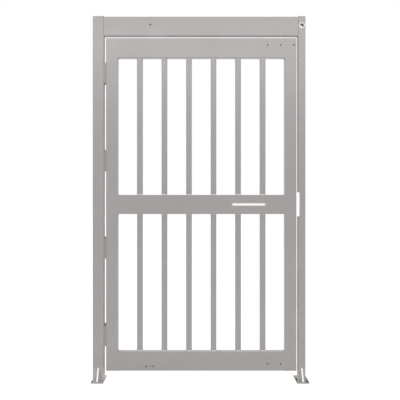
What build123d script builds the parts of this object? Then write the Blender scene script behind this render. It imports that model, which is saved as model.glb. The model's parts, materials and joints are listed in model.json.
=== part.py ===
"""A full height security gate: a barred leaf hung in its own frame of two posts and a header.

Millimetres, +Z up. The origin is the centre of the underside of the hinge post's base plate.
+X runs from the hinge post to the latch post, and the leaf swings towards +Y.
"""

import os

from build123d import *

os.makedirs("parts", exist_ok=True)

# Frame: posts and header of rectangular tube
clear_opening = 1219.0
hinge_post_width = 70.0
latch_post_width = 46.0
post_depth = 76.0
post_top = 2287.5
post_wall = 3.0
post_corner = 5.0
post_cap_thick = 3.0
post_cap_chamfer = 1.0
header_height = 122.0
header_depth = 64.0
header_wall = 3.0
header_corner = 5.0

# Feet: base plates with an upright gusset before and behind each post
plate_width = 76.0
plate_depth = 218.0
plate_thick = 6.0
plate_corner = 4.0
gusset_thick = 10.0
gusset_rise = 75.0
gusset_reach = 66.0
gusset_nose = 4.0
gusset_clip = 8.0
anchor_radius = 7.0
anchor_offset = 19.0
anchor_reach = 66.0

# Leaf: stiles, rails and bars
hinge_gap = 14.0
latch_gap = 11.0
top_gap = 14.5
leaf_bottom = 64.5
leaf_depth = 64.0
leaf_wall = 3.0
leaf_corner = 5.0
stile_width = 74.0
stile_cap_thick = 3.0
top_rail_height = 124.0
mid_rail_height = 120.5
bottom_rail_height = 121.0
bar_count = 6
bar_size = 36.0
bar_wall = 2.5
bar_corner = 6.0
bead_leg = 6.0

# Pull slot, strike, cable hole and drilled fixing holes
pull_slot_length = 213.0
pull_slot_height = 17.0
pull_slot_from_latch = 298.5
pull_liner_wall = 2.5
pull_liner_fit = 0.3
strike_height = 152.0
strike_depth = 16.0
strike_wall = 3.0
cable_radius = 12.0
grommet_wall = 2.0
grommet_fit = 0.3
grommet_rim_radius = 19.0
grommet_rim_thick = 1.5
grommet_rim_chamfer = 0.75
cable_drop = 56.0
fixing_radius = 4.5
lock_fixing_pitch = 82.0
lock_fixing_from_latch = 180.5
lock_fixing_drop = 43.0
lock_fixing_rise = 44.0
stop_fixing_pitch = 45.0
stop_fixing_from_hinge = 274.0
stop_fixing_rise = 27.5
header_fixing_from_post = 291.5
header_fixing_drop = 52.0

# Butt hinges in the hinge gap, with their barrels behind the frame
hinge_count = 4
hinge_pitch = 550.0
hinge_height = 130.0
hinge_plate_thick = 4.0
hinge_plate_setback = 22.0
barrel_radius = 8.0
barrel_behind_post = 8.0
pin_radius = 5.0
pin_clearance = 0.1
pin_head_height = 4.0
pin_head_round = 2.8
knuckle_count = 5
knuckle_clearance = 0.5

# Places worked out from those sizes
post_inner = hinge_post_width / 2
latch_inner = post_inner + clear_opening
latch_x = latch_inner + latch_post_width / 2
front_y = -post_depth / 2
header_bottom = post_top - header_height
leaf_left = post_inner + hinge_gap
leaf_right = latch_inner - latch_gap
leaf_top = header_bottom - top_gap
leaf_middle = (leaf_bottom + leaf_top) / 2
leaf_y = front_y + leaf_depth / 2
rail_left = leaf_left + stile_width
rail_right = leaf_right - stile_width
rail_length = rail_right - rail_left
top_rail_bottom = leaf_top - top_rail_height
mid_rail_bottom = leaf_middle - mid_rail_height / 2
mid_rail_top = leaf_middle + mid_rail_height / 2
bottom_rail_top = leaf_bottom + bottom_rail_height
bar_gap = (rail_length - bar_count * bar_size) / (bar_count + 1)
pin_x = post_inner + hinge_gap / 2
pin_y = post_depth / 2 + barrel_behind_post
cable_z = post_top - cable_drop
sleeve_radius = cable_radius + grommet_wall
front = Plane.XZ.offset(-front_y)


def tube_section(width, depth, wall, corner):
    """A rectangular tube's section in the open sketch."""
    RectangleRounded(width, depth, corner)
    RectangleRounded(width - 2 * wall, depth - 2 * wall, corner - wall, mode=Mode.SUBTRACT)


def drill_front(places, wall):
    """Drills fixing holes at the given X and Z through the front wall of the open part."""
    with BuildSketch(front) as holes:
        with Locations(*places):
            Circle(fixing_radius)
    extrude(holes.sketch, amount=-2 * wall, mode=Mode.SUBTRACT)


def raise_post(centre_x, width):
    """Adds a post of rectangular tube, standing on its base plate."""
    with BuildSketch(Plane.XY.offset(plate_thick)) as section:
        with Locations((centre_x, 0)):
            tube_section(width, post_depth, post_wall, post_corner)
    extrude(section.sketch, amount=post_top - plate_thick)


def raise_post_cap(centre_x, width):
    """Adds the bevelled plate that closes a post's top."""
    with BuildSketch(Plane.XY.offset(post_top)) as outline:
        with Locations((centre_x, 0)):
            RectangleRounded(width, post_depth, post_corner)
    top = extrude(outline.sketch, amount=post_cap_thick).faces().sort_by(Axis.Z)[-1]
    chamfer(top.edges(), post_cap_chamfer)


def lay_base_plate(centre_x, inward):
    """Adds a base plate with an anchor hole before and behind the post, beside the gussets.

    inward is 1 where the opening lies towards +X, and -1 where it lies towards -X.
    """
    with BuildSketch() as outline:
        with Locations((centre_x, 0)):
            RectangleRounded(plate_width, plate_depth, plate_corner)
        with Locations((centre_x + inward * anchor_offset, 0)):
            with GridLocations(0, 2 * anchor_reach, 1, 2):
                Circle(anchor_radius, mode=Mode.SUBTRACT)
    extrude(outline.sketch, amount=plate_thick)


def stand_gusset(centre_x, side):
    """Adds an upright gusset from a post's face to its base plate, clipped clear of their weld.

    side is -1 in front of the post and 1 behind it.
    """
    seat_y = side * post_depth / 2
    toe_y = seat_y + side * gusset_reach
    with BuildSketch(Plane.YZ.offset(centre_x)) as outline:
        with BuildLine():
            Polyline(
                (seat_y + side * gusset_clip, plate_thick),
                (toe_y, plate_thick),
                (toe_y, plate_thick + gusset_nose),
                (seat_y, plate_thick + gusset_rise),
                (seat_y, plate_thick + gusset_clip),
                close=True,
            )
        make_face()
    extrude(outline.sketch, amount=gusset_thick / 2, both=True)


def raise_stile(left):
    """Adds a full height stile of the leaf, open at its ends."""
    with BuildSketch(Plane.XY.offset(leaf_bottom + stile_cap_thick)) as section:
        with Locations((left + stile_width / 2, leaf_y)):
            tube_section(stile_width, leaf_depth, leaf_wall, leaf_corner)
    extrude(section.sketch, amount=leaf_top - leaf_bottom - 2 * stile_cap_thick)


def cap_stile(left):
    """Adds the two plates that close a stile's ends."""
    for base in (leaf_bottom, leaf_top - stile_cap_thick):
        with BuildSketch(Plane.XY.offset(base)) as outline:
            with Locations((left + stile_width / 2, leaf_y)):
                RectangleRounded(stile_width, leaf_depth, leaf_corner)
        extrude(outline.sketch, amount=stile_cap_thick)


def lay_rail(bottom, height):
    """Adds a rail of the leaf between its stiles."""
    with BuildSketch(Plane.YZ.offset(rail_left)) as section:
        with Locations((leaf_y, bottom + height / 2)):
            tube_section(leaf_depth, height, leaf_wall, leaf_corner)
    extrude(section.sketch, amount=rail_length)


def raise_bar(centre_x, bottom, top):
    """Adds a bar of square tube with soft corners, and the weld beads in front and behind its foot."""
    with BuildSketch(Plane.XY.offset(bottom)) as section:
        with Locations((centre_x, leaf_y)):
            tube_section(bar_size, bar_size, bar_wall, bar_corner)
    extrude(section.sketch, amount=top - bottom)
    for side in (-1, 1):
        root_y = leaf_y + side * bar_size / 2
        with BuildSketch(Plane.YZ.offset(centre_x)) as bead:
            with BuildLine():
                Polyline(
                    (root_y, bottom),
                    (root_y + side * bead_leg, bottom),
                    (root_y, bottom + bead_leg),
                    close=True,
                )
            make_face()
        extrude(bead.sketch, amount=bar_size / 2 - bar_corner, both=True)


def shape_hinge_half(bottom, plate_x, spare_knuckles):
    """Adds a hinge plate and its share of the barrel, with room for the other half's knuckles."""
    plate_front = front_y + hinge_plate_setback
    knuckle_height = hinge_height / knuckle_count
    with BuildSketch(Plane.XY.offset(bottom)) as outline:
        with Locations((plate_x, plate_front)):
            Rectangle(hinge_plate_thick, pin_y - plate_front, align=(Align.CENTER, Align.MIN))
        with Locations((pin_x, pin_y)):
            Circle(barrel_radius)
    extrude(outline.sketch, amount=hinge_height)
    for index in spare_knuckles:
        with BuildSketch(Plane.XY.offset(bottom + index * knuckle_height - knuckle_clearance / 2)) as room:
            with Locations((pin_x, pin_y)):
                Circle(barrel_radius + knuckle_clearance)
        extrude(room.sketch, amount=knuckle_height + knuckle_clearance, mode=Mode.SUBTRACT)


def post_hinge_half(bottom):
    """Adds the hinge half welded to the post, with its pin and the pin's domed head."""
    shape_hinge_half(bottom, post_inner + hinge_plate_thick / 2, range(1, knuckle_count, 2))
    with BuildSketch(Plane.XY.offset(bottom)) as pin:
        with Locations((pin_x, pin_y)):
            Circle(pin_radius)
    extrude(pin.sketch, amount=hinge_height)
    with BuildSketch(Plane.XY.offset(bottom + hinge_height)) as dome:
        with Locations((pin_x, pin_y)):
            Circle(barrel_radius)
    head = extrude(dome.sketch, amount=pin_head_height).faces().sort_by(Axis.Z)[-1]
    fillet(head.edges(), pin_head_round)


def gate_hinge_half(bottom):
    """Adds the hinge half welded to the leaf, which turns on the post half's pin."""
    shape_hinge_half(bottom, leaf_left - hinge_plate_thick / 2, range(0, knuckle_count, 2))
    with BuildSketch(Plane.XY.offset(bottom)) as bore:
        with Locations((pin_x, pin_y)):
            Circle(pin_radius + pin_clearance)
    extrude(bore.sketch, amount=hinge_height, mode=Mode.SUBTRACT)


# The frame: posts on their plates, caps, header and gussets
with BuildPart() as hinge_post:
    raise_post(0, hinge_post_width)

with BuildPart() as latch_post:
    raise_post(latch_x, latch_post_width)
    with BuildSketch(Plane.XZ):
        with Locations((latch_inner, leaf_middle)):
            Rectangle(2 * (strike_depth + strike_wall), strike_height + 2 * strike_wall)
        with Locations((latch_x, cable_z)):
            Circle(sleeve_radius + grommet_fit)
    extrude(amount=post_depth, both=True, mode=Mode.SUBTRACT)

with BuildPart() as hinge_post_cap:
    raise_post_cap(0, hinge_post_width)

with BuildPart() as latch_post_cap:
    raise_post_cap(latch_x, latch_post_width)

with BuildPart() as hinge_post_base_plate:
    lay_base_plate(0, 1)

with BuildPart() as latch_post_base_plate:
    lay_base_plate(latch_x, -1)

with BuildPart() as header:
    with BuildSketch(Plane.YZ.offset(post_inner)):
        with Locations((front_y + header_depth / 2, header_bottom + header_height / 2)):
            tube_section(header_depth, header_height, header_wall, header_corner)
    extrude(amount=clear_opening)
    drill_front([(post_inner + header_fixing_from_post, post_top - header_fixing_drop)], header_wall)

pieces = {
    "hinge_post": hinge_post,
    "latch_post": latch_post,
    "hinge_post_cap": hinge_post_cap,
    "latch_post_cap": latch_post_cap,
    "hinge_post_base_plate": hinge_post_base_plate,
    "latch_post_base_plate": latch_post_base_plate,
    "header": header,
}

for post_name, post_x in (("hinge_post", 0), ("latch_post", latch_x)):
    for end_name, side in (("front", -1), ("rear", 1)):
        with BuildPart() as gusset:
            stand_gusset(post_x, side)
        pieces[f"{post_name}_{end_name}_gusset"] = gusset

# The strike pocket lines the notch in the latch post
with BuildPart() as strike_pocket:
    with BuildSketch(Plane.XZ):
        with Locations((latch_inner, leaf_middle)):
            pocket_depth = strike_depth + strike_wall
            side_aligned = (Align.MIN, Align.CENTER)
            Rectangle(pocket_depth, strike_height + 2 * strike_wall, align=side_aligned)
            Rectangle(strike_depth, strike_height, align=side_aligned, mode=Mode.SUBTRACT)
    extrude(amount=post_depth / 2, both=True)
pieces["strike_pocket"] = strike_pocket

# The cable grommet is a sleeve through both walls of the latch post, with a rim on each face
with BuildPart() as cable_grommet:
    with BuildSketch(Plane.XZ):
        with Locations((latch_x, cable_z)):
            Circle(sleeve_radius)
    extrude(amount=post_depth / 2, both=True)
    for side in (-1, 1):
        with BuildSketch(Plane.XZ.offset(side * post_depth / 2)):
            with Locations((latch_x, cable_z)):
                Circle(grommet_rim_radius)
        extrude(amount=side * grommet_rim_thick)
    rims_by_depth = cable_grommet.faces().sort_by(Axis.Y)
    for rim in (rims_by_depth[0], rims_by_depth[-1]):
        chamfer(rim.edges(), grommet_rim_chamfer)
    with BuildSketch(Plane.XZ):
        with Locations((latch_x, cable_z)):
            Circle(cable_radius)
    extrude(amount=post_depth, both=True, mode=Mode.SUBTRACT)
pieces["cable_grommet"] = cable_grommet

# The leaf: stiles, their caps, rails and the liner of the pull slot
lock_fixings = [leaf_right - lock_fixing_from_latch + step * lock_fixing_pitch for step in range(3)]
with BuildPart() as hinge_stile:
    raise_stile(leaf_left)

with BuildPart() as latch_stile:
    raise_stile(rail_right)
    drill_front([(lock_fixings[2], leaf_top - lock_fixing_drop)], leaf_wall)

with BuildPart() as hinge_stile_caps:
    cap_stile(leaf_left)

with BuildPart() as latch_stile_caps:
    cap_stile(rail_right)

with BuildPart() as top_rail:
    lay_rail(top_rail_bottom, top_rail_height)
    drill_front([(x, leaf_top - lock_fixing_drop) for x in lock_fixings[:2]], leaf_wall)

pull_slot_x = leaf_right - pull_slot_from_latch
liner_length = pull_slot_length + 2 * pull_liner_wall
liner_height = pull_slot_height + 2 * pull_liner_wall
with BuildPart() as mid_rail:
    lay_rail(mid_rail_bottom, mid_rail_height)
    with BuildSketch(front):
        with Locations((pull_slot_x, leaf_middle)):
            SlotOverall(liner_length + 2 * pull_liner_fit, liner_height + 2 * pull_liner_fit)
    extrude(amount=-leaf_depth, mode=Mode.SUBTRACT)

with BuildPart() as pull_slot_liner:
    with BuildSketch(front):
        with Locations((pull_slot_x, leaf_middle)):
            SlotOverall(liner_length, liner_height)
            SlotOverall(pull_slot_length, pull_slot_height, mode=Mode.SUBTRACT)
    extrude(amount=-leaf_depth)

with BuildPart() as bottom_rail:
    lay_rail(leaf_bottom, bottom_rail_height)
    drill_front([(x, leaf_bottom + lock_fixing_rise) for x in lock_fixings[:2]], leaf_wall)
    stop_middle = leaf_left + stop_fixing_from_hinge
    stop_fixings = [stop_middle - stop_fixing_pitch / 2, stop_middle + stop_fixing_pitch / 2]
    drill_front([(x, leaf_bottom + stop_fixing_rise) for x in stop_fixings], leaf_wall)

pieces.update(
    hinge_stile=hinge_stile,
    latch_stile=latch_stile,
    hinge_stile_caps=hinge_stile_caps,
    latch_stile_caps=latch_stile_caps,
    top_rail=top_rail,
    mid_rail=mid_rail,
    pull_slot_liner=pull_slot_liner,
    bottom_rail=bottom_rail,
)

# Bars with equal gaps, above and below the mid rail
for index in range(bar_count):
    bar_x = rail_left + (index + 1) * bar_gap + (index + 0.5) * bar_size
    with BuildPart() as upper_bar:
        raise_bar(bar_x, mid_rail_top, top_rail_bottom)
    with BuildPart() as lower_bar:
        raise_bar(bar_x, bottom_rail_top, mid_rail_bottom)
    pieces[f"upper_bar_{index + 1}"] = upper_bar
    pieces[f"lower_bar_{index + 1}"] = lower_bar

# Hinges, evenly spaced about the leaf's middle
for index in range(hinge_count):
    hinge_middle = leaf_middle + (index - (hinge_count - 1) / 2) * hinge_pitch
    with BuildPart() as post_half:
        post_hinge_half(hinge_middle - hinge_height / 2)
    with BuildPart() as gate_half:
        gate_hinge_half(hinge_middle - hinge_height / 2)
    pieces[f"hinge_{index + 1}_post_half"] = post_half
    pieces[f"hinge_{index + 1}_gate_half"] = gate_half

for name, piece in pieces.items():
    piece.part.label = name
    export_step(piece.part, f"parts/{name}.step")
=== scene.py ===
"""A full height security gate: its powder-coated finishes, weld beads, hinge packers and stage.

Everything is in metres in the gate's own frame: X from the hinge post to the latch post, Y to the rear,
Z up from the floor.
"""

import json
from math import radians

import bmesh
import bpy
from bpy.props import FloatProperty, FloatVectorProperty, PointerProperty
from mathutils import Matrix, Vector


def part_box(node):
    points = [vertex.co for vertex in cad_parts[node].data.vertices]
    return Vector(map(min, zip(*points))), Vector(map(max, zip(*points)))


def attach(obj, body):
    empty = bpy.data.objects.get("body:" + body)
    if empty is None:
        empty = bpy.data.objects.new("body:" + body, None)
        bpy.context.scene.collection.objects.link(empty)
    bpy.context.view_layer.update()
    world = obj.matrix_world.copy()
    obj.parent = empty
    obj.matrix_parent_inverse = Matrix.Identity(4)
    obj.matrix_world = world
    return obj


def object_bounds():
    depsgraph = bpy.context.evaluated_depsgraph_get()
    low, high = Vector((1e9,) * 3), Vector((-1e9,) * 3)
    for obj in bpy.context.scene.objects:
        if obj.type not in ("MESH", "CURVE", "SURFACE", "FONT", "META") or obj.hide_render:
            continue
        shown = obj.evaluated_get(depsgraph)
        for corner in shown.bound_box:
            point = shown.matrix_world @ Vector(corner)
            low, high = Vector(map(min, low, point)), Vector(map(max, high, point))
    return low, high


bl_info = {
    "name": "Security Gate Finish",
    "version": (1, 0, 0),
    "blender": (4, 5, 0),
    "location": "View3D > Sidebar > Gate",
    "description": "Finishes, welds, hinge packers and stage of a full height security gate",
    "category": "Object",
}

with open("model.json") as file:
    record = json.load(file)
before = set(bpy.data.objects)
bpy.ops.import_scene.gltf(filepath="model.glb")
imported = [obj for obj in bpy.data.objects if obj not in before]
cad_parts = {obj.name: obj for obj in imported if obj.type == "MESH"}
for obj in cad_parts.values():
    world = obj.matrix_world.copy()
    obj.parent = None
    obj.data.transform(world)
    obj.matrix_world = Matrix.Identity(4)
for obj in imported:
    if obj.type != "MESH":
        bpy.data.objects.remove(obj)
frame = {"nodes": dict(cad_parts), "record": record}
cad_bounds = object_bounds()

MM = 0.001

# The posts, each with the direction in X from it to the opening, and the ends of a post's foot, each
# with the direction in Y from the post to it
POSTS = {"hinge_post": 1, "latch_post": -1}
ENDS = {"front": -1, "rear": 1}
RAILS = ("top_rail", "mid_rail", "bottom_rail")
BAR_ROWS = ("upper", "lower")
HINGES = [f"hinge_{number}" for number in range(1, 5)]


# Colour and node helpers


def srgb(code):
    """An sRGB hex colour as linear red, green and blue."""
    parts = [int(code[place : place + 2], 16) / 255 for place in (1, 3, 5)]
    return tuple(c / 12.92 if c <= 0.04045 else ((c + 0.055) / 1.055) ** 2.4 for c in parts)


def per_metre(size_mm):
    """The texture scale that repeats a pattern every size_mm."""
    return 1 / (size_mm * MM)


def add_node(tree, kind, inputs=None, **settings):
    """Adds a node with its settings. inputs holds plain values, and sockets to link from."""
    node = tree.nodes.new(kind)
    for name, value in settings.items():
        setattr(node, name, value)
    for name, value in (inputs or {}).items():
        if isinstance(value, bpy.types.NodeSocket):
            tree.links.new(value, node.inputs[name])
        else:
            node.inputs[name].default_value = value
    return node


def new_material(name):
    """A material with an empty node tree, and that tree."""
    material = bpy.data.materials.new(name)
    material.use_nodes = True
    material.node_tree.nodes.clear()
    return material, material.node_tree


# Values that a user may change


def colour_property(name, code, description):
    """A colour, from its sRGB hex code."""
    return FloatVectorProperty(
        name=name, description=description, default=srgb(code), subtype="COLOR", size=3, min=0, max=1
    )


def length_property(name, millimetres, description):
    """A length, from its millimetres."""
    return FloatProperty(name=name, description=description, default=millimetres * MM, unit="LENGTH")


def share_property(name, share, description):
    """A share of something, from 0 to 1."""
    return FloatProperty(name=name, description=description, default=share, subtype="FACTOR", min=0, max=1)


def power_property(name, watts, description):
    """A lamp's power, from its watts."""
    return FloatProperty(name=name, description=description, default=watts, unit="POWER", min=0)


class GatePaint(bpy.types.PropertyGroup):
    """Colours of the finishes"""

    coat: colour_property("Coat", "#b2aead", "Warm light grey powder coat")
    coat_shade: colour_property("Coat shade", "#aba7a6", "The coat where it lies thinner")
    # Painted shade: the dark laid on top of the base plates to both sides of each post
    painted_shade_and_light: colour_property("Dust", "#5d5956", "Trodden dirt on top of the base plates")
    # Painted light: the pale laid on the posts' feet and on the strip of each base plate before and behind
    # its post
    painted_pale_light: colour_property("Pale dust", "#e2dfdc", "Dry mineral dust on the posts' feet")
    # Painted light: the pale coat at both ends of each bar
    painted_weld_light: colour_property("Weld coat", "#e5e2e0", "The coat over the welds of the bars")
    worn: colour_property("Worn coat", "#c2bebc", "The coat where hands have polished it thin")
    bare_steel: colour_property("Bare steel", "#fbf9f6", "The rubbed edges of the gussets")
    # Painted shade: the dark in the bore of the cable bush
    painted_bore_shade: colour_property("Bore dust", "#2e2c2b", "Dust in the bore of the cable bush")
    bush: colour_property("Bush", "#ebe8e5", "Pale nylon of the cable bush")
    peel_size: FloatProperty(
        name="Peel size", description="Spacing of the coat's orange peel, in millimetres", default=3, min=0.5
    )


class GateWelds(bpy.types.PropertyGroup):
    """Sizes of the weld beads, the slot's lip and the hinge packers"""

    foot_radius: length_property("Foot bead", 2.8, "Radius of the beads at the posts' feet")
    plate_radius: length_property("Plate bead", 2.4, "Radius of the beads on gussets and the header")
    thin_share: share_property("Thin bead", 0.8, "Rail and hinge beads, as a share of the plate bead")
    ripple_pitch: length_property("Ripple pitch", 4, "Distance between a bead's ripples")
    ripple_depth: share_property("Ripple depth", 0.12, "Share of the radius by which a ripple dips")
    groove: length_property("Groove", 5, "Width and depth of a filled joint's groove")
    grinding: length_property("Grinding", 0.05, "How far a joint is ground below the face")
    lip_radius: length_property("Lip radius", 4, "Half width of the lip round the pull slot")
    lip_flatness: share_property("Lip flatness", 0.3, "How far the lip stands out, of its half width")
    lip_overlap: share_property("Lip overlap", 0.25, "How far its middle lies inwards, of its half width")
    packer_gap: length_property("Packer gap", 1.6, "Gap left between the hinge packers")
    packer_setback: length_property("Packer setback", 2, "From the frame's front to the packers")
    packer_edge: length_property("Packer edge", 0.6, "Bevel of the packers' edges")


class GateStage(bpy.types.PropertyGroup):
    """The camera's place and the strength of the lights"""

    eye_height: length_property("Eye height", 1220, "Height of the camera")
    eye_distance: length_property("Eye distance", 5400, "Distance from the gate's front plane")
    eye_aside: length_property("Eye aside", 9.5, "From the opening's middle towards the hinge post")
    lens: FloatProperty(
        name="Lens", description="Focal length on a 36 mm sensor", default=77.5, unit="CAMERA"
    )
    ambient: FloatProperty(
        name="Ambient", description="Strength of the even light from all sides", default=0.85, min=0
    )
    top_power: power_property("Top", 30, "Power of the overhead soft box")
    front_power: power_property("Front", 2.2, "Power of the high soft box in front")
    low_power: power_property("Low", 0.07, "Power of the low soft box in front")


# Materials

# Spacing of their patterns, in millimetres
COAT_DRIFT = 160
FOOT_LIGHT_SPLASH = 18
SHADE_PATCH = 22
FLOW_MARK = 9

# Roughness of the coat where it is thick and thin, and of the others, and what it gains where the posts'
# feet are painted lighter and the base plates painted darker
THICK_COAT = 0.3
THIN_COAT = 0.36
RUBBED_STEEL = 0.16
NYLON = 0.42
FOOT_LIGHT_DULLS = 0.4
PLATE_SHADE_DULLS = 0.45

# The part of a noise's range that a Map Range node stretches: for the drift, and for the patches of painted
# light and shade
DRIFT_RANGE = {"From Min": 0.3, "From Max": 0.7}
PATCH_RANGE = {"From Min": 0.3, "From Max": 0.6}

# A second colour of a finish, as a share of the first: the worn coat's and the nylon's
WORN_SHADE = 0.92
NYLON_SHADE = 0.9

# A Mix node's sockets when it mixes colours: its factor, both colours and the result
FACTOR, FIRST, SECOND, MIXED = 0, 6, 7, 2


def coat_layers(tree, colour, shade, peel_size):
    """Colour, roughness and normal sockets of a powder coat, from patterns in the gate's own metres."""
    peel_strength = 0.25
    peel_height = 0.15 * MM
    where = add_node(tree, "ShaderNodeTexCoord").outputs["Object"]
    # The coat's thickness drifts over about a hand's breadth, and its colour and gloss with it
    drift = add_node(
        tree, "ShaderNodeTexNoise", {"Vector": where, "Scale": per_metre(COAT_DRIFT), "Detail": 3}
    ).outputs["Fac"]
    mixed = add_node(
        tree, "ShaderNodeMix", {FACTOR: drift, FIRST: (*colour, 1), SECOND: (*shade, 1)}, data_type="RGBA"
    ).outputs[MIXED]
    roughness = add_node(
        tree,
        "ShaderNodeMapRange",
        {"Value": drift, **DRIFT_RANGE, "To Min": THICK_COAT, "To Max": THIN_COAT},
    ).outputs["Result"]
    # Orange peel, drawn at the coarse end of its real 1 to 3 mm so that it shows
    peel = add_node(
        tree, "ShaderNodeTexNoise", {"Vector": where, "Scale": per_metre(peel_size), "Detail": 2}
    ).outputs["Fac"]
    normal = add_node(
        tree, "ShaderNodeBump", {"Height": peel, "Strength": peel_strength, "Distance": peel_height}
    ).outputs["Normal"]
    return mixed, roughness, normal


def powder_coated_steel(paint, name="powder_coated_steel", tone=None):
    """Steel tube, sprayed with warm grey polyester powder and baked: even, satin, with a fine orange peel
    that softens its highlights and hides the metal below. A piece may have a tone of its own."""
    material, tree = new_material(name)
    thin = [WORN_SHADE * part for part in tone] if tone else paint.coat_shade
    colour, roughness, normal = coat_layers(tree, tone or paint.coat, thin, paint.peel_size)
    shader = add_node(
        tree, "ShaderNodeBsdfPrincipled", {"Base Color": colour, "Roughness": roughness, "Normal": normal}
    )
    add_node(tree, "ShaderNodeOutputMaterial", {"Surface": shader.outputs[0]})
    return material


def coat_with_painted_light_at_bar_ends(paint, row):
    """The bars' powder coat, painted paler over the ground weld metal at both ends of each bar, less so at
    the top: a painted highlight at the foot and painted light at the head."""
    foot_height = 5 * MM
    foot_fade = 2 * MM
    head_height = 6 * MM
    head_fade = 3 * MM
    head_share = 0.6
    material, tree = new_material(f"powder_coat_over_{row}_bar_welds")
    colour, roughness, normal = coat_layers(tree, paint.coat, paint.coat_shade, paint.peel_size)
    low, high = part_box(f"{row}_bar_1")
    foot_top = low.z + foot_height
    head_bottom = high.z - head_height
    head_range = {"From Min": head_bottom - head_fade, "From Max": head_bottom, "To Max": head_share}
    where = add_node(tree, "ShaderNodeTexCoord").outputs["Object"]
    height = add_node(tree, "ShaderNodeSeparateXYZ", {"Vector": where}).outputs["Z"]
    foot = add_node(
        tree, "ShaderNodeMapRange", {"Value": height, "From Min": foot_top + foot_fade, "From Max": foot_top}
    ).outputs["Result"]
    head = add_node(tree, "ShaderNodeMapRange", {"Value": height, **head_range}).outputs["Result"]
    ends = add_node(tree, "ShaderNodeMath", {0: foot, 1: head}, operation="MAXIMUM").outputs[0]
    # Painted light over both ends of each bar
    weld_highlight = (*paint.painted_weld_light, 1)
    tone = add_node(
        tree, "ShaderNodeMix", {FACTOR: ends, FIRST: colour, SECOND: weld_highlight}, data_type="RGBA"
    ).outputs[MIXED]
    shader = add_node(
        tree, "ShaderNodeBsdfPrincipled", {"Base Color": tone, "Roughness": roughness, "Normal": normal}
    )
    add_node(tree, "ShaderNodeOutputMaterial", {"Surface": shader.outputs[0]})
    return material


def coat_with_painted_foot_light(paint):
    """The posts' powder coat, painted paler over the lowest hand's breadth as painted light from the floor:
    matt and lighter there, in splashes, and fading out upwards."""
    light_ends = 110 * MM
    light_full = 15 * MM
    thickest = 0.7
    between_splashes = 0.8
    material, tree = new_material("powder_coat_with_dusty_foot")
    colour, roughness, normal = coat_layers(tree, paint.coat, paint.coat_shade, paint.peel_size)
    where = add_node(tree, "ShaderNodeTexCoord").outputs["Object"]
    height = add_node(tree, "ShaderNodeSeparateXYZ", {"Vector": where}).outputs["Z"]
    low = add_node(
        tree,
        "ShaderNodeMapRange",
        {"Value": height, "From Min": light_ends, "From Max": light_full, "To Max": thickest},
        interpolation_type="SMOOTHSTEP",
    ).outputs["Result"]
    # Splashes a finger wide break up the painted light
    splash = add_node(
        tree, "ShaderNodeTexNoise", {"Vector": where, "Scale": per_metre(FOOT_LIGHT_SPLASH), "Detail": 4}
    ).outputs["Fac"]
    spread = add_node(
        tree, "ShaderNodeMapRange", {"Value": splash, **PATCH_RANGE, "To Min": between_splashes}
    ).outputs["Result"]
    painted_shading = add_node(tree, "ShaderNodeMath", {0: low, 1: spread}, operation="MULTIPLY").outputs[0]
    # Painted light: the pale laid on the posts' feet
    painted_shade_and_light = (*paint.painted_pale_light, 1)
    tone = add_node(
        tree, "ShaderNodeMix", {FACTOR: painted_shading, FIRST: colour, SECOND: painted_shade_and_light}, data_type="RGBA"
    ).outputs[MIXED]
    dull = add_node(
        tree, "ShaderNodeMath", {0: painted_shading, 1: FOOT_LIGHT_DULLS, 2: roughness}, operation="MULTIPLY_ADD"
    ).outputs[0]
    shader = add_node(
        tree, "ShaderNodeBsdfPrincipled", {"Base Color": tone, "Roughness": dull, "Normal": normal}
    )
    add_node(tree, "ShaderNodeOutputMaterial", {"Surface": shader.outputs[0]})
    return material


def strip_before_and_behind(tree, where, post):
    """A factor of 1 on the strip of a base plate before and behind its post, and of 0 to both sides. The
    strip is a little wider than the post, and slants from it towards the opening."""
    wider = 3 * MM
    slant = -0.13 * POSTS[post]
    low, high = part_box(post)
    middle = (low.x + high.x) / 2 + slant * high.y + POSTS[post] * wider
    half_width = (high.x - low.x) / 2 + wider
    place = add_node(tree, "ShaderNodeSeparateXYZ", {"Vector": where}).outputs
    ahead = add_node(tree, "ShaderNodeMath", {0: place["Y"]}, operation="ABSOLUTE").outputs[0]
    across = add_node(
        tree, "ShaderNodeMath", {0: ahead, 1: slant, 2: place["X"]}, operation="MULTIPLY_ADD"
    ).outputs[0]
    return add_node(
        tree, "ShaderNodeMath", {0: across, 1: middle, 2: half_width}, operation="COMPARE"
    ).outputs[0]


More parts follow.
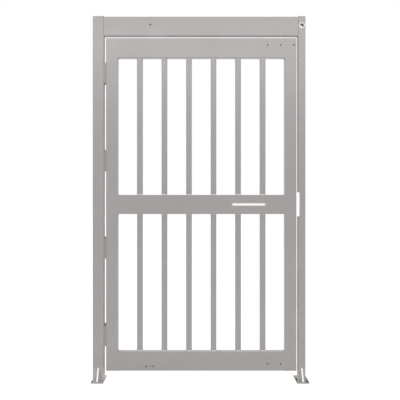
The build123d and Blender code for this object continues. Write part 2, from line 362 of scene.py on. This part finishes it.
def coat_with_painted_plate_shade(paint, post):
    """The same powder coat on a post's base plate, with painted shade on top: matt and dark in patches to
    both sides of the post, painted paler as painted light on the strip before and behind it, and plain on
    the upright edges."""
    shade_on_strip = 0.12
    light_on_strip = 0.4
    between_patches = 0.75
    material, tree = new_material(f"trodden_powder_coat_{post}")
    colour, roughness, normal = coat_layers(tree, paint.coat, paint.coat_shade, paint.peel_size)
    where = add_node(tree, "ShaderNodeTexCoord").outputs["Object"]
    facing = add_node(tree, "ShaderNodeNewGeometry").outputs["Normal"]
    upward = add_node(tree, "ShaderNodeSeparateXYZ", {"Vector": facing}).outputs["Z"]
    # The painted shade lies in soft patches a thumb wide, and hardly any of it on the strip before and
    # behind the post
    patches = add_node(
        tree, "ShaderNodeTexNoise", {"Vector": where, "Scale": per_metre(SHADE_PATCH), "Detail": 5}
    ).outputs["Fac"]
    spread = add_node(
        tree, "ShaderNodeMapRange", {"Value": patches, **PATCH_RANGE, "To Min": between_patches}
    ).outputs["Result"]
    strip = strip_before_and_behind(tree, where, post)
    cover = add_node(
        tree, "ShaderNodeMapRange", {"Value": strip, "To Min": 1, "To Max": shade_on_strip}
    ).outputs["Result"]
    patchy_shade = add_node(tree, "ShaderNodeMath", {0: cover, 1: spread}, operation="MULTIPLY").outputs[0]
    shaded_share = add_node(
        tree, "ShaderNodeMath", {0: upward, 1: patchy_shade}, operation="MULTIPLY", use_clamp=True
    ).outputs[0]
    level = add_node(
        tree, "ShaderNodeMath", {0: strip, 1: upward}, operation="MULTIPLY", use_clamp=True
    ).outputs[0]
    pale = add_node(tree, "ShaderNodeMath", {0: level, 1: light_on_strip}, operation="MULTIPLY").outputs[0]
    # Painted light on the strip before and behind the post
    painted_pale_light = (*paint.painted_pale_light, 1)
    swept = add_node(
        tree, "ShaderNodeMix", {FACTOR: pale, FIRST: colour, SECOND: painted_pale_light}, data_type="RGBA"
    ).outputs[MIXED]
    # Painted shade on top of the plate to both sides of the post
    painted_plate_shade = (*paint.painted_shade_and_light, 1)
    tone = add_node(
        tree, "ShaderNodeMix", {FACTOR: shaded_share, FIRST: swept, SECOND: painted_plate_shade}, data_type="RGBA"
    ).outputs[MIXED]
    dull = add_node(
        tree, "ShaderNodeMath", {0: shaded_share, 1: PLATE_SHADE_DULLS, 2: roughness}, operation="MULTIPLY_ADD"
    ).outputs[0]
    shader = add_node(
        tree, "ShaderNodeBsdfPrincipled", {"Base Color": tone, "Roughness": dull, "Normal": normal}
    )
    add_node(tree, "ShaderNodeOutputMaterial", {"Surface": shader.outputs[0]})
    return material


def coat_with_bare_edge(paint):
    """Powder coat on the gussets, flame cut from plate. Boots have rubbed the sloping edge down to bright
    bare steel, which mirrors the light overhead and shows white from the front."""
    coated_slope = 0.45
    bare_slope = 0.6
    material, tree = new_material("powder_coat_with_bare_edge")
    colour, roughness, normal = coat_layers(tree, paint.coat, paint.coat_shade, paint.peel_size)
    facing = add_node(tree, "ShaderNodeNewGeometry").outputs["Normal"]
    upward = add_node(tree, "ShaderNodeSeparateXYZ", {"Vector": facing}).outputs["Z"]
    bare = add_node(
        tree, "ShaderNodeMapRange", {"Value": upward, "From Min": coated_slope, "From Max": bare_slope}
    ).outputs["Result"]
    steel = (*paint.bare_steel, 1)
    tone = add_node(
        tree, "ShaderNodeMix", {FACTOR: bare, FIRST: colour, SECOND: steel}, data_type="RGBA"
    ).outputs[MIXED]
    gloss = add_node(
        tree, "ShaderNodeMapRange", {"Value": bare, "To Min": roughness, "To Max": RUBBED_STEEL}
    ).outputs["Result"]
    shader = add_node(
        tree,
        "ShaderNodeBsdfPrincipled",
        {"Base Color": tone, "Roughness": gloss, "Metallic": bare, "Normal": normal},
    )
    add_node(tree, "ShaderNodeOutputMaterial", {"Surface": shader.outputs[0]})
    return material


def moulded_nylon(paint):
    """Injection moulded nylon of the cable bush: a pale, waxy rim with faint flow marks, and a bore darkened
    by painted shade."""
    nylon_ior = 1.53
    mark_strength = 0.1
    mark_height = 0.1 * MM
    material, tree = new_material("moulded_nylon")
    where = add_node(tree, "ShaderNodeTexCoord").outputs["Object"]
    flow = add_node(
        tree, "ShaderNodeTexNoise", {"Vector": where, "Scale": per_metre(FLOW_MARK), "Detail": 2}
    ).outputs["Fac"]
    plain = (*paint.bush, 1)
    marked = (*(NYLON_SHADE * part for part in paint.bush), 1)
    unshaded = add_node(
        tree, "ShaderNodeMix", {FACTOR: flow, FIRST: plain, SECOND: marked}, data_type="RGBA"
    ).outputs[MIXED]
    # The bore, darkened by painted shade, is what lies between the front and rear faces of its post
    low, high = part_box("latch_post")
    middle = (low.y + high.y) / 2
    half_depth = (high.y - low.y) / 2
    depth = add_node(tree, "ShaderNodeSeparateXYZ", {"Vector": where}).outputs["Y"]
    inside = add_node(
        tree, "ShaderNodeMath", {0: depth, 1: middle, 2: half_depth}, operation="COMPARE"
    ).outputs[0]
    # Painted shade in the bore
    painted_shading = (*paint.painted_bore_shade, 1)
    tone = add_node(
        tree, "ShaderNodeMix", {FACTOR: inside, FIRST: unshaded, SECOND: painted_shading}, data_type="RGBA"
    ).outputs[MIXED]
    normal = add_node(
        tree, "ShaderNodeBump", {"Height": flow, "Strength": mark_strength, "Distance": mark_height}
    ).outputs["Normal"]
    shader = add_node(
        tree,
        "ShaderNodeBsdfPrincipled",
        {"Base Color": tone, "Roughness": NYLON, "IOR": nylon_ior, "Normal": normal},
    )
    add_node(tree, "ShaderNodeOutputMaterial", {"Surface": shader.outputs[0]})
    return material


# Mesh helpers

# Sides of a bead's and of the lip's round section, steps of the lip's half turns, and a length that
# counts as none
BEAD_SIDES = 10
LIP_SIDES = 12
LIP_TURN_STEPS = 16
NEGLIGIBLE = 0.01 * MM


def finish_piece(bm, name, body, material):
    """Makes an object of bm at the origin, on a body of the gate, with its finish."""
    bmesh.ops.recalc_face_normals(bm, faces=bm.faces)
    mesh = bpy.data.meshes.new(name)
    bm.to_mesh(mesh)
    bm.free()
    mesh.materials.append(material)
    piece = bpy.data.objects.new(name, mesh)
    bpy.context.scene.collection.objects.link(piece)
    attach(piece, body)


def draw_bead(bm, start, end, radius, welds):
    """Draws a rippled round bead from start to end. Half or more of it lies in the joint."""
    along = Vector(end) - Vector(start)
    ripples = max(1, round(along.length / welds.ripple_pitch))
    bead = bmesh.new()
    bmesh.ops.create_cone(
        bead, cap_ends=True, segments=BEAD_SIDES, radius1=radius, radius2=radius, depth=along.length
    )
    lengthwise = [edge for edge in bead.edges if abs(edge.verts[0].co.z - edge.verts[1].co.z) > NEGLIGIBLE]
    bmesh.ops.subdivide_edges(bead, edges=lengthwise, cuts=2 * ripples - 1, use_grid_fill=True)
    half_pitch = along.length / (2 * ripples)
    for vert in bead.verts:
        ring = round((vert.co.z + along.length / 2) / half_pitch)
        shrink = 1 - welds.ripple_depth * (ring % 2)
        vert.co.x *= shrink
        vert.co.y *= shrink
    turn = along.to_track_quat("Z", "Y").to_matrix().to_4x4()
    place = Matrix.Translation((Vector(start) + Vector(end)) / 2) @ turn
    bmesh.ops.transform(bead, matrix=place, verts=bead.verts)
    for face in bead.faces:
        face.smooth = len(face.verts) == 4
    drawn = bpy.data.meshes.new("bead")
    bead.to_mesh(drawn)
    bead.free()
    bm.from_mesh(drawn)
    bpy.data.meshes.remove(drawn)


def draw_block(bm, corner, opposite, bevel):
    """Draws a block between two opposite corners, with its edges bevelled."""
    size = [abs(length) for length in Vector(opposite) - Vector(corner)]
    place = Matrix.Translation((Vector(corner) + Vector(opposite)) / 2) @ Matrix.Diagonal((*size, 1))
    made = bmesh.ops.create_cube(bm, size=1, matrix=place)
    rims = list(dict.fromkeys(rim for vert in made["verts"] for rim in vert.link_edges))
    bmesh.ops.bevel(bm, geom=rims, offset=bevel, segments=2, profile=0.5, affect="EDGES", material=-1)


def weld_hinge_plate(bm, box, side_x, rear_y, welds):
    """Beads round the hinge plate that lies on the face at side_x of a tube that ends at rear_y."""
    low, high = box
    radius = welds.plate_radius * welds.thin_share
    draw_bead(bm, (side_x, low.y, low.z), (side_x, low.y, high.z), radius, welds)
    for z in (low.z, high.z):
        draw_bead(bm, (side_x, low.y, z), (side_x, rear_y - 2 * radius, z), radius, welds)


# Operators


class GATE_OT_finish_pieces(bpy.types.Operator):
    """Give every carried-over piece of the gate its finish"""

    bl_idname = "gate.finish_pieces"
    bl_label = "Finish Pieces"

    def execute(self, context):
        paint = context.scene.gate_paint
        finishes = {
            "painted_steel": powder_coated_steel(paint),
            "hinge_steel": powder_coated_steel(paint, "powder_coated_hinge"),
            "grommet": moulded_nylon(paint),
        }
        # The base plates: painted shade beside each post, painted light before and behind it
        plates = {f"{post}_base_plate": coat_with_painted_plate_shade(paint, post) for post in POSTS}
        rubbed = coat_with_bare_edge(paint)
        # The posts: painted light on their feet
        feet = coat_with_painted_foot_light(paint)
        # The bars: painted light at both ends
        bars = {row: coat_with_painted_light_at_bar_ends(paint, row) for row in BAR_ROWS}
        # The lip that weld_leaf draws round the pull slot takes this one
        powder_coated_steel(paint, "hand_worn_coat", paint.worn)
        for subpart in frame["record"]["subparts"]:
            name = subpart["node"]
            finish = plates.get(name) or finishes[subpart["material_slot"]]
            if name.endswith("gusset"):
                finish = rubbed
            elif name in POSTS:
                finish = feet
            elif "_bar_" in name:
                finish = bars[name.split("_")[0]]
            materials = frame["nodes"][name].data.materials
            materials.clear()
            materials.append(finish)
        return {"FINISHED"}


class GATE_OT_weld_frame(bpy.types.Operator):
    """Lay the weld beads of the posts' feet, gussets, header and hinges on the frame"""

    bl_idname = "gate.weld_frame"
    bl_label = "Weld Frame"

    def execute(self, context):
        welds = context.scene.gate_welds
        coat = bpy.data.materials["powder_coated_steel"]
        # The posts' coat with painted light on their feet, also for the foot welds
        feet = bpy.data.materials["powder_coat_with_dusty_foot"]
        for post in POSTS:
            bm = bmesh.new()
            self.weld_foot(bm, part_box(post), welds)
            for end, side in ENDS.items():
                self.weld_gusset(bm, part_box(f"{post}_{end}_gusset"), side, welds)
            finish_piece(bm, f"{post}_foot_welds", "frame", feet)
        bm = bmesh.new()
        self.weld_header(bm, welds)
        finish_piece(bm, "header_welds", "frame", coat)
        bm = bmesh.new()
        post_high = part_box("hinge_post")[1]
        for hinge in HINGES:
            weld_hinge_plate(bm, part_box(f"{hinge}_post_half"), post_high.x, post_high.y, welds)
        finish_piece(bm, "hinge_post_welds", "frame", coat)
        return {"FINISHED"}

    def weld_foot(self, bm, box, welds):
        """Beads round the foot of a post, on its base plate."""
        low, high = box
        for y in (low.y, high.y):
            draw_bead(bm, (low.x, y, low.z), (high.x, y, low.z), welds.foot_radius, welds)
        for x in (low.x, high.x):
            draw_bead(bm, (x, low.y, low.z), (x, high.y, low.z), welds.foot_radius, welds)

    def weld_gusset(self, bm, box, side, welds):
        """Beads on both sides of a gusset, up the post and along the plate."""
        low, high = box
        seat, toe = (high.y, low.y) if side < 0 else (low.y, high.y)
        clear = 2 * welds.foot_radius
        top = high.z - welds.foot_radius
        end = toe - side * welds.plate_radius
        for x in (low.x, high.x):
            draw_bead(bm, (x, seat, low.z + clear), (x, seat, top), welds.plate_radius, welds)
            draw_bead(bm, (x, seat + side * clear, low.z), (x, end, low.z), welds.plate_radius, welds)

    def weld_header(self, bm, welds):
        """Beads over, under and behind each end of the header."""
        low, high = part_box("header")
        inset = welds.foot_radius
        for x in (low.x, high.x):
            draw_bead(bm, (x, high.y, low.z + inset), (x, high.y, high.z - inset), welds.plate_radius, welds)
            for z in (low.z, high.z):
                draw_bead(bm, (x, low.y + inset, z), (x, high.y - inset, z), welds.plate_radius, welds)


class GATE_OT_weld_leaf(bpy.types.Operator):
    """Weld the leaf's rails and hinge plates, and lay the lip round its pull slot"""

    bl_idname = "gate.weld_leaf"
    bl_label = "Weld Leaf"

    def execute(self, context):
        welds = context.scene.gate_welds
        coat = bpy.data.materials["powder_coated_steel"]
        for rail in RAILS:
            bm = bmesh.new()
            self.weld_rail(bm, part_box(rail), welds)
            self.fill_joints(bm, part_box(rail), welds)
            finish_piece(bm, f"{rail}_welds", "leaf", coat)
        bm = bmesh.new()
        self.draw_slot_lip(bm, welds)
        finish_piece(bm, "pull_slot_lip", "leaf", bpy.data.materials["hand_worn_coat"])
        bm = bmesh.new()
        stile_low, stile_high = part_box("hinge_stile")
        for hinge in HINGES:
            weld_hinge_plate(bm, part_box(f"{hinge}_gate_half"), stile_low.x, stile_high.y, welds)
        finish_piece(bm, "hinge_stile_welds", "leaf", coat)
        return {"FINISHED"}

    def weld_rail(self, bm, box, welds):
        """Beads over and under each end of a rail."""
        low, high = box
        inset = welds.foot_radius
        radius = welds.plate_radius * welds.thin_share
        for x in (low.x, high.x):
            for z in (low.z, high.z):
                draw_bead(bm, (x, low.y + inset, z), (x, high.y - inset, z), radius, welds)

    def fill_joints(self, bm, box, welds):
        """Weld metal ground flush in the groove that each stile's round corner leaves beside a rail."""
        low, high = box
        for x, side in ((low.x, -1), (high.x, 1)):
            for face, inward in ((low.y, 1), (high.y, -1)):
                near = (x, face + inward * welds.grinding, low.z)
                deep = (x + side * welds.groove, face + inward * welds.groove, high.z)
                draw_block(bm, near, deep, welds.grinding)

    def draw_slot_lip(self, bm, welds):
        """A lip on the front of the slot's liner: a round section swept once round it, then flattened."""
        low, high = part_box("pull_slot_liner")
        liner_radius = (high.z - low.z) / 2
        radius = liner_radius - welds.lip_radius * welds.lip_overlap
        middle = (low.z + high.z) / 2
        left, right = low.x + liner_radius, high.x - liner_radius
        place = Matrix.Translation((left, low.y, middle + radius)) @ Matrix.Rotation(radians(90), 4, "Y")
        bmesh.ops.create_circle(bm, segments=LIP_SIDES, radius=welds.lip_radius, matrix=place)
        edges = list(bm.edges)
        for travel, centre in ((right - left, right), (left - right, left)):
            run = bmesh.ops.extrude_edge_only(bm, edges=edges)["geom"]
            ahead = [item for item in run if isinstance(item, bmesh.types.BMVert)]
            bmesh.ops.translate(bm, vec=(travel, 0, 0), verts=ahead)
            edges = [item for item in run if isinstance(item, bmesh.types.BMEdge)]
            turned = bmesh.ops.spin(
                bm,
                geom=edges,
                cent=(centre, low.y, middle),
                axis=(0, 1, 0),
                angle=radians(180),
                steps=LIP_TURN_STEPS,
            )["geom_last"]
            edges = [item for item in turned if isinstance(item, bmesh.types.BMEdge)]
        bmesh.ops.remove_doubles(bm, verts=bm.verts, dist=NEGLIGIBLE)
        bmesh.ops.scale(
            bm, vec=(1, welds.lip_flatness, 1), space=Matrix.Translation((0, -low.y, 0)), verts=bm.verts
        )
        for face in bm.faces:
            face.smooth = True


class GATE_OT_pack_hinges(bpy.types.Operator):
    """Close the hinge gap in front of each hinge with a steel packer on either side"""

    bl_idname = "gate.pack_hinges"
    bl_label = "Pack Hinges"

    def execute(self, context):
        welds = context.scene.gate_welds
        coat = bpy.data.materials["powder_coated_hinge"]
        post_low, post_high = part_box("hinge_post")
        leaf_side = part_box("hinge_stile")[0].x
        thick = (leaf_side - post_high.x - welds.packer_gap) / 2
        front = post_low.y + welds.packer_setback
        for body, half, side, inward in (
            ("frame", "post_half", post_high.x, 1),
            ("leaf", "gate_half", leaf_side, -1),
        ):
            bm = bmesh.new()
            for hinge in HINGES:
                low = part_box(f"{hinge}_{half}")[0]
                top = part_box(f"{hinge}_gate_half")[1].z
                inner = side + inward * thick
                draw_block(bm, (side, front, low.z), (inner, low.y, top), welds.packer_edge)
            finish_piece(bm, f"hinge_packers_{half}", body, coat)
        return {"FINISHED"}


# Stage

# Each soft box's place and target from the gate's middle, its width and height, and its spread in degrees
SOFT_BOXES = {
    "top": ((0, 0.2, 3.6), (0, 0.2, 0), (2.4, 0.6), 180),
    "front": ((0, -1.6, 2.3), (0, 0, 2.35), (3.0, 0.4), 80),
    "low": ((-0.2, -1.3, 0.15), (0, 0, 0.1), (1.8, 0.2), 50),
}

# The floor's white as the gate's light meets it, and what the camera sees of it: a little of the shadow,
# and a glow that lifts the rest to plain white
WHITE = (*srgb("#ffffff"), 1)
FLOOR_MATT = (0.8, 0.8, 0.8, 1)
FLOOR_FAINT = (0.28, 0.28, 0.28, 1)
FLOOR_GLOW = 0.84
FLOOR_REACH = 30

# The camera's shifts, as shares of the width of its view
SHIFT_X = 0.00125
SHIFT_Y = -0.0336


def seen_rays(tree):
    """A factor of 1 for what the camera sees directly, in a reflection or through glass."""
    path = add_node(tree, "ShaderNodeLightPath").outputs
    either = add_node(
        tree, "ShaderNodeMath", {0: path["Is Camera Ray"], 1: path["Is Glossy Ray"]}, operation="MAXIMUM"
    ).outputs[0]
    return add_node(
        tree, "ShaderNodeMath", {0: either, 1: path["Is Transmission Ray"]}, operation="MAXIMUM"
    ).outputs[0]


class GATE_OT_set_stage(bpy.types.Operator):
    """Lay the white floor, light the gate from all sides, hang three soft boxes and place the camera"""

    bl_idname = "gate.set_stage"
    bl_label = "Set Stage"

    def execute(self, context):
        stage = context.scene.gate_stage
        gate_low, gate_high = cad_bounds
        middle = Vector(((gate_low[0] + gate_high[0]) / 2, 0, 0))
        self.lay_floor(middle)
        self.light_surroundings(context.scene, stage)
        for name, (place, target, size, spread) in SOFT_BOXES.items():
            power = getattr(stage, f"{name}_power")
            self.hang_soft_box(name, middle + Vector(place), middle + Vector(target), size, spread, power)
        self.place_camera(context.scene, stage)
        context.scene.view_settings.view_transform = "Standard"
        return {"FINISHED"}

    def lay_floor(self, middle):
        """A white floor that keeps the gate's soft shadow."""
        bm = bmesh.new()
        place = Matrix.Translation(middle)
        bmesh.ops.create_grid(bm, x_segments=1, y_segments=1, size=FLOOR_REACH, matrix=place)
        mesh = bpy.data.meshes.new("floor")
        bm.to_mesh(mesh)
        bm.free()
        material, tree = new_material("white_floor")
        matt = add_node(tree, "ShaderNodeBsdfDiffuse", {"Color": FLOOR_MATT}).outputs[0]
        faint = add_node(tree, "ShaderNodeBsdfDiffuse", {"Color": FLOOR_FAINT}).outputs[0]
        glow = add_node(tree, "ShaderNodeEmission", {"Color": WHITE, "Strength": FLOOR_GLOW}).outputs[0]
        lifted = add_node(tree, "ShaderNodeAddShader", {0: faint, 1: glow}).outputs[0]
        mixed = add_node(tree, "ShaderNodeMixShader", {0: seen_rays(tree), 1: matt, 2: lifted}).outputs[0]
        add_node(tree, "ShaderNodeOutputMaterial", {"Surface": mixed})
        mesh.materials.append(material)
        floor = bpy.data.objects.new("floor", mesh)
        bpy.context.scene.collection.objects.link(floor)

    def light_surroundings(self, scene, stage):
        """Even light from all sides that the camera sees as plain white."""
        world = bpy.data.worlds.new("surroundings")
        world.use_nodes = True
        tree = world.node_tree
        tree.nodes.clear()
        even = add_node(tree, "ShaderNodeBackground", {"Color": WHITE, "Strength": stage.ambient}).outputs[0]
        white = add_node(tree, "ShaderNodeBackground", {"Color": WHITE, "Strength": 1}).outputs[0]
        mixed = add_node(tree, "ShaderNodeMixShader", {0: seen_rays(tree), 1: even, 2: white}).outputs[0]
        add_node(tree, "ShaderNodeOutputWorld", {"Surface": mixed})
        scene.world = world

    def hang_soft_box(self, name, place, target, size, spread, power):
        """A rectangular soft box at place, turned to target. A grid narrows its spread, in degrees."""
        lamp = bpy.data.lights.new(name, "AREA")
        lamp.shape = "RECTANGLE"
        lamp.size, lamp.size_y = size
        lamp.energy = power
        lamp.spread = radians(spread)
        box = bpy.data.objects.new(name, lamp)
        box.location = place
        box.rotation_euler = (target - place).to_track_quat("-Z", "Y").to_euler()
        bpy.context.scene.collection.objects.link(box)

    def place_camera(self, scene, stage):
        """A level camera before the opening, with the small shifts of the framing."""
        camera = bpy.data.cameras.new("camera")
        camera.lens = stage.lens
        camera.shift_x = SHIFT_X
        camera.shift_y = SHIFT_Y
        eye = bpy.data.objects.new("camera", camera)
        post_low, post_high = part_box("hinge_post")
        opening_middle = (post_high.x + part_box("latch_post")[0].x) / 2
        eye.location = (opening_middle - stage.eye_aside, post_low.y - stage.eye_distance, stage.eye_height)
        eye.rotation_euler = (radians(90), 0, 0)
        scene.collection.objects.link(eye)
        scene.camera = eye


class GATE_PT_finish(bpy.types.Panel):
    """The gate's operators and values in the 3D view's sidebar"""

    bl_idname = "GATE_PT_finish"
    bl_label = "Security Gate"
    bl_space_type = "VIEW_3D"
    bl_region_type = "UI"
    bl_category = "Gate"

    def draw(self, context):
        for operator in OPERATORS:
            self.layout.operator(operator.bl_idname)
        for name, group in GROUPS.items():
            box = self.layout.box()
            values = getattr(context.scene, name)
            for value in group.__annotations__:
                box.prop(values, value)


# Registration and the run

GROUPS = {
    "gate_paint": GatePaint,
    "gate_welds": GateWelds,
    "gate_stage": GateStage,
}
OPERATORS = (
    GATE_OT_finish_pieces,
    GATE_OT_weld_frame,
    GATE_OT_weld_leaf,
    GATE_OT_pack_hinges,
    GATE_OT_set_stage,
)


def register():
    for kind in (*GROUPS.values(), *OPERATORS, GATE_PT_finish):
        bpy.utils.register_class(kind)
    for name, group in GROUPS.items():
        setattr(bpy.types.Scene, name, PointerProperty(type=group))


def unregister():
    for name in GROUPS:
        delattr(bpy.types.Scene, name)
    for kind in (GATE_PT_finish, *reversed(OPERATORS), *reversed(GROUPS.values())):
        bpy.utils.unregister_class(kind)


def main():
    register()
    bpy.ops.gate.finish_pieces()
    bpy.ops.gate.weld_frame()
    bpy.ops.gate.weld_leaf()
    bpy.ops.gate.pack_hinges()
    bpy.ops.gate.set_stage()


if __name__ == "__main__":
    main()
